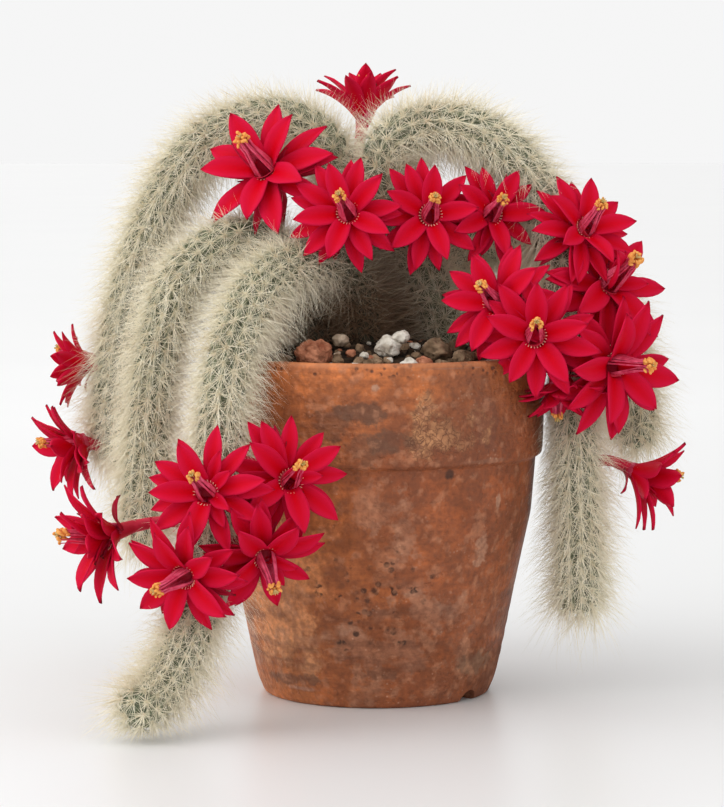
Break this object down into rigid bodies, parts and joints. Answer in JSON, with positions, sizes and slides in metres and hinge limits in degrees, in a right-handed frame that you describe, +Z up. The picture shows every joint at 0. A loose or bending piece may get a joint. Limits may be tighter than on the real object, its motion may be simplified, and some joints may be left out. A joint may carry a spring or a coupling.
{
  "type": "potted monkey tail cactus",
  "caption": "Trailing hairy cactus with red blooms in a tapered, collared clay pot of soil and gravel, standing on its foot ring.",
  "frame": {"origin": "bottom centre of the bounding box, at table level under the pot", "axes": "+X to the right of the pictured view, the longest side of the plant; +Y away from the viewer; +Z up"},
  "size_m": [0.3172, 0.271, 0.3011],
  "materials": {
    "terracotta": "matte",
    "soil": "matte",
    "gravel": "matte",
    "stem": "matte",
    "petal": "satin",
    "anther": "matte"
  },
  "bodies": {
    "root": {"pot": "terracotta", "soil": "soil", "gravel": "gravel", "stem_left_arch": "stem", "stem_left": "stem", "stem_front_left": "stem", "stem_right_arch": "stem", "stem_right_back": "stem", "stem_back": "stem", "stem_back_left": "stem", "bloom_top": "petal", "anthers_top": "anther", "bloom_upper_left": "petal", "anthers_upper_left": "anther", "bloom_row_left": "petal", "anthers_row_left": "anther", "bloom_row_middle": "petal", "anthers_row_middle": "anther", "bloom_row_right": "petal", "anthers_row_right": "anther", "bloom_right_front": "petal", "anthers_right_front": "anther", "bloom_right_inner": "petal", "anthers_right_inner": "anther", "bloom_right_upper": "petal", "anthers_right_upper": "anther", "bloom_right_side": "petal", "anthers_right_side": "anther", "bloom_right_lower": "petal", "anthers_right_lower": "anther", "bloom_under_front": "petal", "anthers_under_front": "anther", "bloom_right_far": "petal", "anthers_right_far": "anther", "bloom_left_high": "petal", "anthers_left_high": "anther", "bloom_left_far": "petal", "anthers_left_far": "anther", "bloom_low_centre": "petal", "anthers_low_centre": "anther", "bloom_low_front": "petal", "anthers_low_front": "anther", "bloom_low_under": "petal", "anthers_low_under": "anther", "bloom_low_right": "petal", "anthers_low_right": "anther", "bloom_low_left": "petal", "anthers_low_left": "anther"}
  },
  "joints": []
}
